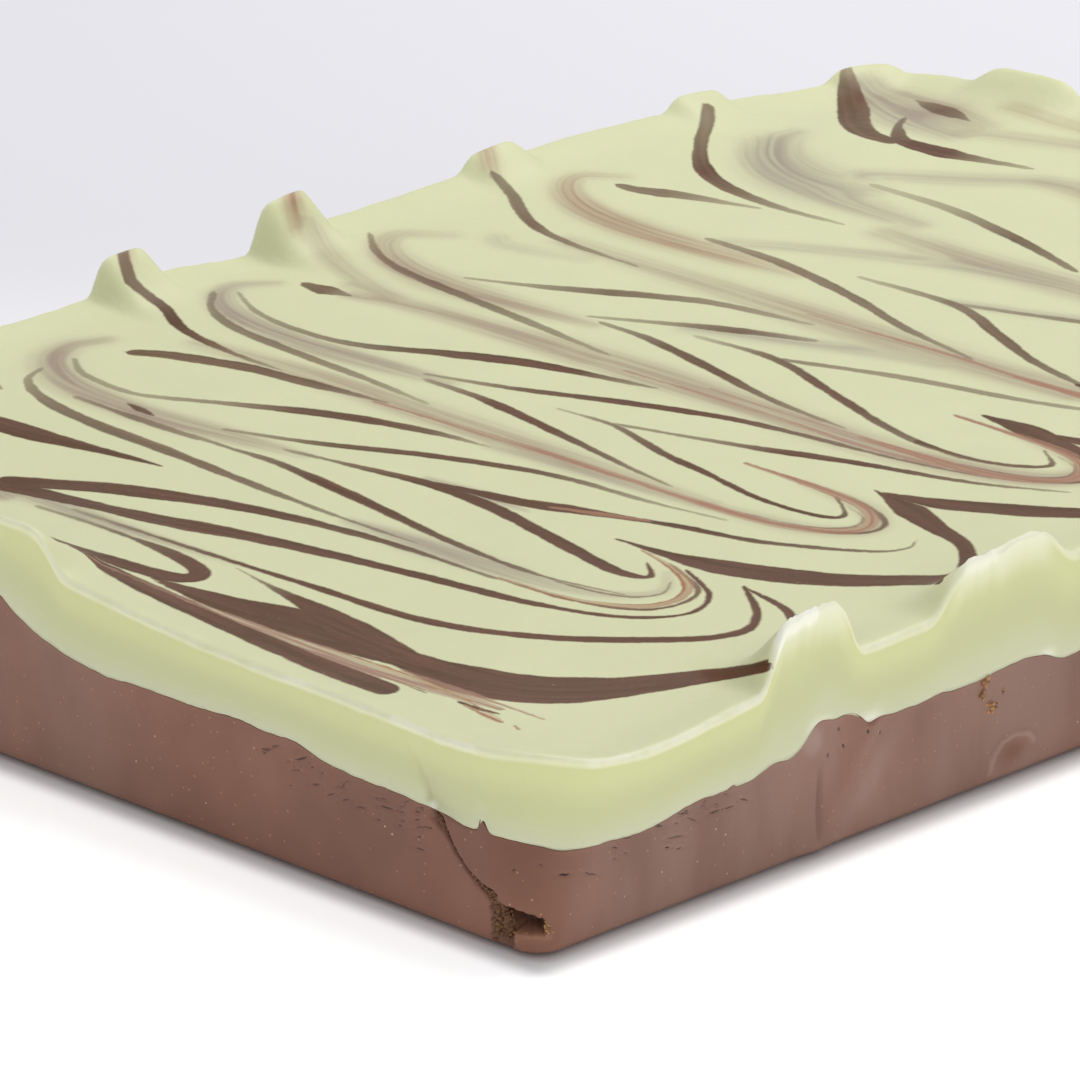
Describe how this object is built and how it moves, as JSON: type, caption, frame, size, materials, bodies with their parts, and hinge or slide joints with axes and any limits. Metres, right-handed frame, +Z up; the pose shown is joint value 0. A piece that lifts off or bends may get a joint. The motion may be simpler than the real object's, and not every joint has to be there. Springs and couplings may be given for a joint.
{
  "type": "fudge slab",
  "caption": "Rectangular slab of layered fudge: a chocolate base under a pale mint layer marbled with chocolate, with an uneven rim that stands up in peaks.",
  "frame": {"origin": "middle of the underside, on the surface that the slab rests on", "axes": "+X along the slab's length, +Y across its width, +Z up. The corner nearest the picture's camera is the one at -X and -Y"},
  "size_m": [0.33, 0.229, 0.0442],
  "materials": {
    "chocolate_fudge": "waxy, satin",
    "mint_fudge": "waxy, soft gloss"
  },
  "bodies": {
    "root": {"chocolate_base": "chocolate_fudge", "mint_layer": "mint_fudge"}
  },
  "joints": []
}
